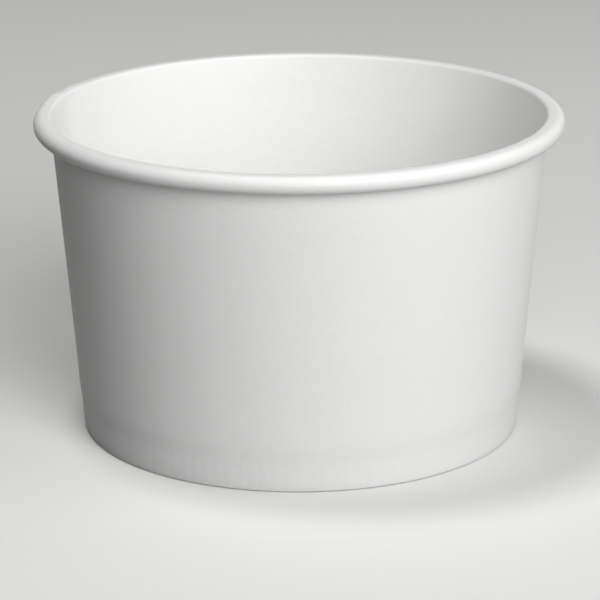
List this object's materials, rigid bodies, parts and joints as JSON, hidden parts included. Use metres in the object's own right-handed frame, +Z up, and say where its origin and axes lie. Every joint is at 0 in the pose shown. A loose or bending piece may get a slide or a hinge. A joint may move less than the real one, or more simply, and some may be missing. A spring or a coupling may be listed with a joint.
{
  "type": "paper sundae cup",
  "caption": "Plain white paper sundae cup: tapered board wall with a lapped side seam and a rolled rim, and a raised bottom disc held in the folded foot.",
  "frame": {"origin": "centre of the foot ring, on the surface that the cup stands on", "axes": "+Z up along the cup's axis, +X to the right in the picture, +Y away from the camera; the side seam is at the back left, from about 164 to 172 degrees counted from +X towards +Y"},
  "size_m": [0.095, 0.095, 0.0583],
  "materials": {
    "wall_board": "white coated cup board, satin, faint fibre",
    "bottom_board": "white coated cup board, satin, faint fibre"
  },
  "bodies": {
    "root": {"side_wall": "wall_board", "bottom_disc": "bottom_board"}
  },
  "joints": []
}
